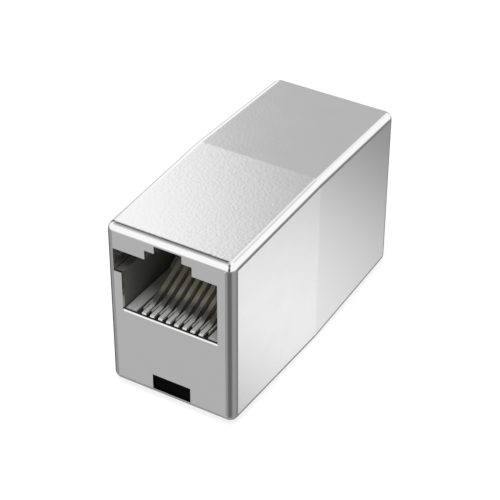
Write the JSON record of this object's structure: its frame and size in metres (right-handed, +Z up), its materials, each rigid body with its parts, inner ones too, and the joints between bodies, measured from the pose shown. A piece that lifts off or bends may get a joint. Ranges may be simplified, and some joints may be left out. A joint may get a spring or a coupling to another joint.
{
  "type": "modular plug inline coupler",
  "caption": "Slim metal-plated inline coupler for shielded network cables, with a modular socket in each end face and a two-part drafted shell.",
  "frame": {"origin": "under the middle of the coupler, at the height of its lowest edge, which is the base of the parting line", "axes": "+Z up, latch side of both sockets; +Y along the length from the front socket to the back socket; +X to the right as the front socket is faced"},
  "size_m": [0.0158, 0.0356, 0.0219],
  "materials": {
    "plated_shell": "satin nickel plate, fine grain",
    "tray_plastic": "black moulded plastic",
    "board_laminate": "green solder mask",
    "housing_plastic": "dark grey moulded plastic",
    "carrier_plastic": "light warm grey moulded plastic",
    "contact_metal": "dull gold-flashed spring strip"
  },
  "bodies": {
    "root": {"front_shell": "plated_shell", "back_shell": "plated_shell", "base_tray": "tray_plastic", "circuit_board": "board_laminate", "front_housing": "housing_plastic", "front_contact_carrier": "carrier_plastic", "front_contact_1": "contact_metal", "front_contact_2": "contact_metal", "front_contact_3": "contact_metal", "front_contact_4": "contact_metal", "front_contact_5": "contact_metal", "front_contact_6": "contact_metal", "front_contact_7": "contact_metal", "front_contact_8": "contact_metal", "back_housing": "housing_plastic", "back_contact_carrier": "carrier_plastic", "back_contact_1": "contact_metal", "back_contact_2": "contact_metal", "back_contact_3": "contact_metal", "back_contact_4": "contact_metal", "back_contact_5": "contact_metal", "back_contact_6": "contact_metal", "back_contact_7": "contact_metal", "back_contact_8": "contact_metal"}
  },
  "joints": []
}
